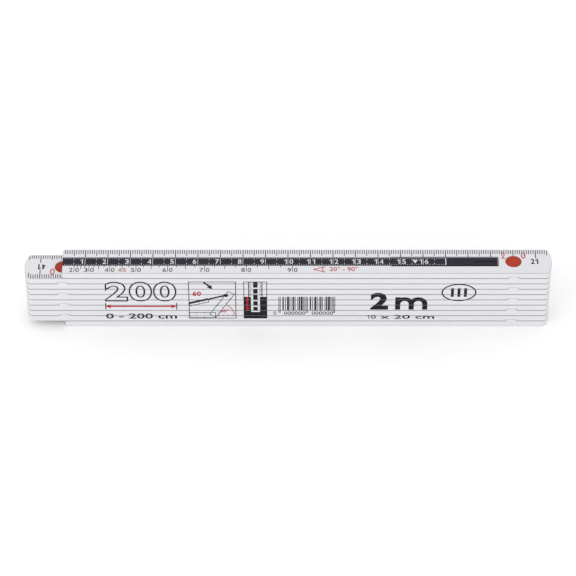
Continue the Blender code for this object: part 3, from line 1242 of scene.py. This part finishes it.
# %% Light print on the tongue
RIB_EDGE = 2.2
light = []
dashes = []
for step in range(10):
    length = 1.45 if step == 5 else 0.55
    half = 0.1 if step == 0 else 0.085
    if step == 0:
        dashes.append(stripe(-half, -RIB_EDGE, half, RIB_EDGE))
    else:
        dashes.append(stripe(step - half, RIB_EDGE - length, step + half, RIB_EDGE))
        dashes.append(stripe(step - half, -RIB_EDGE, step + half, length - RIB_EDGE))
rows = merge("dashes", dashes)
repeat_centimetre(rows, 17)
drawn = bmesh.new()
drawn.from_mesh(rows.data)
early = [vertex for vertex in drawn.verts if vertex.co.x < 0.5 * MM]
bmesh.ops.delete(drawn, geom=early, context="VERTS")
drawn.to_mesh(rows.data)
drawn.free()
light.append(rows)
light.append(stripe(169.8, -RIB_EDGE, 170.2, RIB_EDGE))
for centimetre in range(1, 17):
    u = 10 * centimetre
    figures = str(centimetre)
    places = (-1.45,) if centimetre < 10 else (-1.0, 1.5)
    for digit, offset in zip(figures, places):
        light += figure(digit, (u + offset, 0), 2.9, 1.7, 0.012, OVERPRINT)
light.append(wedge((156.4, 0.35), 1.55, -90, 0.95))
tongue_print = merge("tongue_print", light)
tongue_print.data.transform(Matrix.Translation((0, 0, TONGUE_TOP)))
settle(tongue_print, 1)
dress(tongue_print, "tongue", "light_print_tongue", LIGHT_INK)

# %% [markdown]
# ## Pictures on the printed edges
#
# A folded rule shows ten edges one above another, and the maker prints across all of them. Here
# the prints are generic: the length as outlined figures with a dimension arrow, a sketch of how
# to set an angle and one of how to take a depth, a block of bars, and an oval class mark. The
# whole picture is drawn flat, with x along the rule and its second axis up the stack.

# %% Outlined figures and a dimension arrow
edge_black = []
edge_white = []
edge_red = []
for digit, x in zip("200", (-76.4, -65.6, -54.8)):
    edge_black.append(letters(digit, (x, 21.9), 12.4, 10.4, 0.05))
    edge_white.append(letters(digit, (x, 21.9), 11.0, 9.0, 0.01, OVERPRINT))
edge_red.append(line((-79.0, 12.6), (-52.2, 12.6), 0.75))
edge_red.append(wedge((-79.9, 12.6), 1.7, 180, 0.8))
edge_red.append(wedge((-51.3, 12.6), 1.7, 0, 0.8))
for x in (-81.6, -49.9):
    edge_black.append(stripe(x, 10.6, x + 0.45, 14.7))
edge_black.append(letters("0 - 200 cm", (-65.6, 6.4), 3.3, 31.8, 0.018))

# %% [markdown]
# ## A sketch of setting an angle
#
# The first picture tells what the degree scale is for. One rule lies flat, another leans over it,
# and an arc with its number says how far. They could be filled shapes, but a print this small is
# line work, so each little rule is an outline with a few marks along its long sides.

# %% How to set an angle
edge_black += outline_of(-44.3, 4.9, -23.1, 28.1, 0.35)


def small_rule(length, width, step, degrees, place):
    """A small picture of a rule: its outline, and marks along both long sides."""
    marks = outline_of(0, 0, length, width, 0.3)
    count = int(length / step)
    for index in range(1, count):
        marks.append(stripe(index * step - 0.12, width - 0.9, index * step + 0.12, width - 0.3))
        marks.append(stripe(index * step - 0.12, 0.3, index * step + 0.12, 0.9))
    return turned(merge("small_rule", marks), degrees, place)


edge_black.append(small_rule(12.0, 3.6, 3.4, 0, (-44.2, 5.2)))
edge_black.append(small_rule(17.0, 3.6, 3.4, 60, (-32.1, 5.6)))
edge_black.append(line((-44.0, 14.4), (-28.2, 19.4), 0.9))
edge_black.append(small_rule(9.0, 2.6, 2.2, 17.5, (-43.6, 12.6)))
edge_black.append(drum("knuckle", (-27.6 * MM, 19.5 * MM), 1.0 * MM, -INK_SINK, INK_RISE, 32))
edge_black.append(wedge((-34.6, 24.6), 1.5, -52, 1.0))
edge_black.append(line((-37.4, 27.6), (-34.9, 25.2), 0.9))
edge_red.append(letters("60", (-40.6, 20.6), 2.8, 3.8, 0.03))
edge_red.append(letters("60°", (-28.3, 9.7), 2.0, 3.9, 0.02))


def arc(centre, radius, start, sweep, thickness, lift=0.0):
    """A curved stroke, anticlockwise from its start: one small square spun round a centre."""
    piece = stripe(radius - thickness / 2, -0.01, radius + thickness / 2, 0.01, lift)
    pick(piece)
    bpy.ops.object.mode_set(mode="EDIT")
    bpy.ops.mesh.select_mode(type="FACE")
    bpy.ops.mesh.select_all(action="DESELECT")
    drawn = bmesh.from_edit_mesh(piece.data)
    for face in drawn.faces:
        face.select_set(face.normal.y > 0.5)
    bmesh.update_edit_mesh(piece.data)
    # The operator turns clockwise, so the angle is given as negative.
    bpy.ops.mesh.spin(steps=20, angle=-math.radians(sweep), center=(0, 0, 0), axis=(0, 0, 1))
    bpy.ops.object.mode_set(mode="OBJECT")
    return turned(piece, start, centre)


edge_red.append(arc((-31.6, 7.0), 7.6, 0, 58, 0.35))
for index in range(4):
    edge_red.append(stripe(-31.4 + 2.0 * index, 6.85, -30.2 + 2.0 * index, 7.15))

# %% [markdown]
# ## A sketch of taking a depth
#
# The second picture is a section through a dark block with a bore, the end of a rule over it, and
# its tongue let down to the bottom beside a red arrow. It is all rectangles but for the arrow's
# tip. What is light in it isn't printed at all, so that the white plastic shows.

# %% How to take a depth
edge_black += outline_of(-19.8, 4.9, -9.3, 28.1, 0.3)
edge_black += [stripe(-19.7, 5.0, -16.5, 18.6), stripe(-12.5, 5.0, -9.4, 18.6)]
edge_black.append(stripe(-16.5, 5.0, -12.5, 9.0))
edge_black += [stripe(-17.7, 18.6, -17.35, 28.0), stripe(-11.7, 18.6, -11.35, 28.0)]
for index in range(11):
    z = 19.4 + 0.8 * index
    edge_black += [stripe(-17.4, z, -16.3, z + 0.22), stripe(-12.7, z, -11.6, z + 0.22)]
for low, high in ((10.0, 12.2), (13.0, 15.8), (16.6, 19.8), (20.6, 23.6), (24.4, 28.0)):
    edge_black.append(stripe(-15.5, low, -13.5, high))
edge_red.append(stripe(-18.5, 11.4, -17.7, 18.4, OVERPRINT))
tip = wedge((-18.1, 10.9), 1.2, -90, 1.0)
tip.data.transform(Matrix.Translation((0, 0, OVERPRINT * MM)))
edge_red.append(tip)

# %% [markdown]
# ## Bars, length and class
#
# The rest is type: a block of bars with widths from a short repeating row, plain zeros under it,
# the length in bold letters, and an oval with the class of accuracy. A bold letter can be made by
# swelling a thin one, but an m closes up on itself then, so it is put together from three stems
# and two arches. The oval is a squashed drum with a smaller one cut out.

# %% A block of bars and plain zeros
BAR_WIDTHS = (1, 1, 2, 1, 3, 1, 1, 2, 1, 1, 2, 3, 1, 1)
BAR_UNIT = 0.29
BARS_END = 22.4
LONG_BARS = (0, 1, 14, 15, 28, 29)
x = -4.2
for index in range(30):
    wide = BAR_UNIT * BAR_WIDTHS[index % len(BAR_WIDTHS)]
    gap = BAR_UNIT * BAR_WIDTHS[(3 * index + 1) % len(BAR_WIDTHS)]
    bottom = 8.4 if index in LONG_BARS else 9.8
    if x + wide < BARS_END:
        edge_black.append(stripe(x, bottom, x + wide, 18.6))
    x += wide + gap
edge_black.append(letters("0", (-5.9, 8.3), 2.1, 1.2, 0.008))
edge_black.append(letters("000000", (3.0, 8.3), 2.1, 9.6, 0.008))
edge_black.append(letters("000000", (15.4, 8.3), 2.1, 9.6, 0.008))

# %% Length, segments and class mark


def drawn_m(left, bottom, height, stroke, step):
    """A bold m of three stems and two arches."""
    spring_line = bottom + height - (step + stroke) / 2
    strokes = [stripe(left, bottom, left + stroke, bottom + height)]
    for index in (1, 2):
        stem = left + step * index
        middle = stem + (stroke - step) / 2
        strokes.append(stripe(stem, bottom, stem + stroke, spring_line + 0.2))
        strokes.append(arc((middle, spring_line), step / 2, 0, 180, stroke, index * OVERPRINT))
    return strokes


edge_black.append(letters("2", (40.7, 15.8), 10.6, 8.0, 0.045))
edge_black += drawn_m(47.8, 10.5, 7.8, 2.3, 6.05)
edge_black += number("10", (37.0, 5.9), 2.5, 2.2, 0.014)
edge_black.append(letters("x 20 cm", (53.4, 5.9), 2.5, 24.2, 0.014))
oval = drum("oval", (0, 0), 1.0 * MM, -INK_SINK, INK_RISE, 72)
oval.data.transform(Matrix.Diagonal((7.8, 5.4, 1, 1)))
hollow = drum("hollow", (0, 0), 1.0 * MM, -MM, MM, 72)
hollow.data.transform(Matrix.Diagonal((7.15, 4.75, 1, 1)))
cut(oval, hollow)
edge_black.append(turned(oval, 0, (76.0, 21.3)))
for x in (73.1, 76.0, 78.9):
    edge_black.append(stripe(x - 0.65, 18.6, x + 0.65, 24.0))

# %% [markdown]
# ## Cutting the picture into layers
#
# Each edge of the stack must keep its own part of the picture when the rule opens. The flat drawing
# is stood up against the edges and falls apart into its separate marks. For each segment a copy of
# every mark that reaches it is cut off above and below by bisecting planes just inside the rims.
# A whole drawing could be cut at once, but where marks touch, the cut faces would fill wrongly.
# The marks are made three times thicker first, mostly into the plastic.

# %% One mark between two heights
EDGE_MARGIN = 0.04 * MM
THICKENING = 3


def slice_of(mark, low, high):
    """A copy of the part of a mark between two heights, closed again, in a list if there is any."""
    heights = [vertex.co.z for vertex in mark.data.vertices]
    if max(heights) < low + TINY or min(heights) > high - TINY:
        return []
    part = twin(mark, "slice")
    if min(heights) >= low and max(heights) <= high:
        return [part]
    pick(part)
    bpy.ops.object.mode_set(mode="EDIT")
    bpy.ops.mesh.select_all(action="SELECT")
    trim((0, 0, low), (0, 0, 1), clear_inner=True, use_fill=True)
    bpy.ops.mesh.select_all(action="SELECT")
    trim((0, 0, high), (0, 0, 1), clear_outer=True, use_fill=True)
    bpy.ops.mesh.select_all(action="SELECT")
    bpy.ops.mesh.normals_make_consistent(inside=False)
    bpy.ops.object.mode_set(mode="OBJECT")
    return [part]


# %% Lay the picture on the edges
stand = Matrix.Translation((0, -HALF_WIDTH, 0)) @ Matrix.Rotation(math.radians(90), 4, "X")
printed_edges = 0
for colour, material, marks in (
    ("black", BLACK_INK, edge_black),
    ("white", WHITE_INK, edge_white),
    ("red", RED_INK, edge_red),
):
    drawing = merge("drawing", marks)
    drawing.data.transform(Matrix.Diagonal((1, 1, THICKENING, 1)))
    drawing.data.transform(Matrix.Translation((0, 0, -INK_RISE)))
    drawing.data.transform(stand)
    bpy.ops.mesh.separate(type="LOOSE")
    separate_marks = list(bpy.context.selected_objects)
    for segment in SEGMENTS:
        low = floor_of[segment] + EDGE_MARGIN
        high = floor_of[segment] + THICK - EDGE_MARGIN
        slices = [part for mark in separate_marks for part in slice_of(mark, low, high)]
        if slices:
            printed = merge("edge_print", slices)
            dress(printed, f"link_{segment:02}", f"{colour}_print_edge_{segment:02}", material)
            printed_edges += 1
    print(colour, "marks on the edges:", len(separate_marks))
    for mark in separate_marks:
        bpy.data.objects.remove(mark)
print("edge prints:", printed_edges)

# %% [markdown]
# ## Floor, light and camera
#
# A measuring tool is best shown plainly: a pale floor, a pale surround and large soft lights, so
# that the white plastic keeps its edges. The colour view is Standard, which shows the plastics as
# bright as they were mixed. The camera stands a long way off with a long lens, and looks down at
# the slant that shows the printed edges and the face with the tongue alike.

# %% Stage and light
floor = fresh(bpy.ops.mesh.primitive_plane_add, "floor", size=6, location=(0, 0, 0))
floor_paint = Recipe("floor_paint", Roughness=0.9, Specular_IOR_Level=0.2)
floor_paint.give("Base Color", (0.96, 0.96, 0.96, 1))
floor.data.materials.append(floor_paint.material)


def soft_light(name, place, target, size, watts):
    """A square lamp that faces a point."""
    lamp = bpy.data.lights.new(name, "AREA")
    lamp.size = size
    lamp.energy = watts
    holder = bpy.data.objects.new(name, lamp)
    bpy.context.collection.objects.link(holder)
    holder.location = place
    aim = Vector(target) - Vector(place)
    holder.rotation_euler = aim.to_track_quat("-Z", "Y").to_euler()


soft_light("key", (-0.5, -0.6, 0.9), (0, 0, 0), 0.7, 1.8)
soft_light("front", (0.2, -1.2, 0.3), (0, 0, 0), 0.8, 1.9)
world = bpy.data.worlds.new("surround")
world.use_nodes = True
world.node_tree.nodes["Background"].inputs["Color"].default_value = (1, 1, 1, 1)
world.node_tree.nodes["Background"].inputs["Strength"].default_value = 1.0
bpy.context.scene.world = world
bpy.context.scene.view_settings.view_transform = "Standard"

# %% Camera
ELEVATION = math.radians(45)
LENS = 200
SENSOR = 36
FRAME_WIDTH = 0.2576
DISTANCE = FRAME_WIDTH * LENS / SENSOR
lens = bpy.data.cameras.new("long_lens")
lens.lens = LENS
lens.sensor_width = SENSOR
lens.clip_start = 0.01
camera = bpy.data.objects.new("long_lens", lens)
bpy.context.collection.objects.link(camera)
middle = (cad_box[0] + cad_box[1]) / 2
back = Vector((0, -math.cos(ELEVATION), math.sin(ELEVATION)))
camera.location = middle + back * DISTANCE
camera.rotation_euler = (-back).to_track_quat("-Z", "Y").to_euler()
bpy.context.scene.camera = camera
